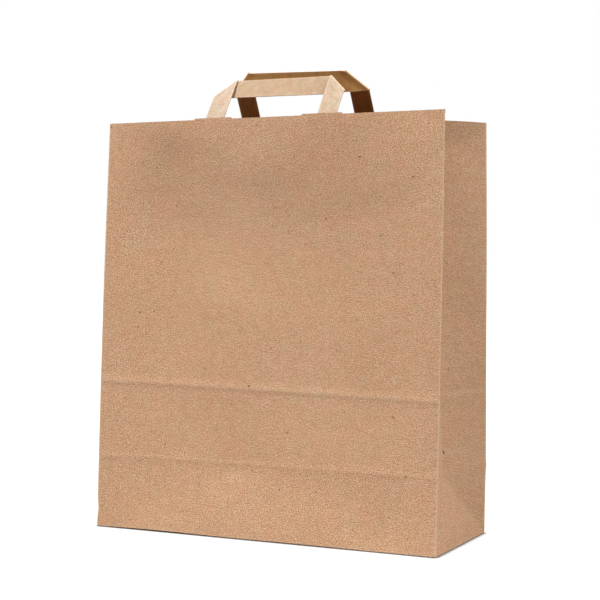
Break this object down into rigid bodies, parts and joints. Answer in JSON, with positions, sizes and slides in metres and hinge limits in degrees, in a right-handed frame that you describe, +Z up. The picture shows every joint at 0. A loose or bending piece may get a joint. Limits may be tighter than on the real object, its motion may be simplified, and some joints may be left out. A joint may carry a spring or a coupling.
{
  "type": "paper takeaway bag",
  "caption": "Open brown kraft paper carrier bag with inward folded gussets, a folded block bottom and flat folded paper handles glued inside the rim.",
  "frame": {"origin": "middle of the base, on the floor that the bag stands on", "axes": "+Z up to the handles, +X along the wide panels, -Y out of the front panel"},
  "size_m": [0.32, 0.1162, 0.4007],
  "materials": {
    "kraft_sheet": "uncoated brown kraft, matte, fine fibres and specks",
    "kraft_strip": "paler layered kraft strip, matte",
    "kraft_patch": "uncoated brown kraft, matte"
  },
  "bodies": {
    "root": {"bag_sheet": "kraft_sheet", "front_handle": "kraft_strip", "rear_handle": "kraft_strip", "front_handle_patch": "kraft_patch", "rear_handle_patch": "kraft_patch"}
  },
  "joints": []
}
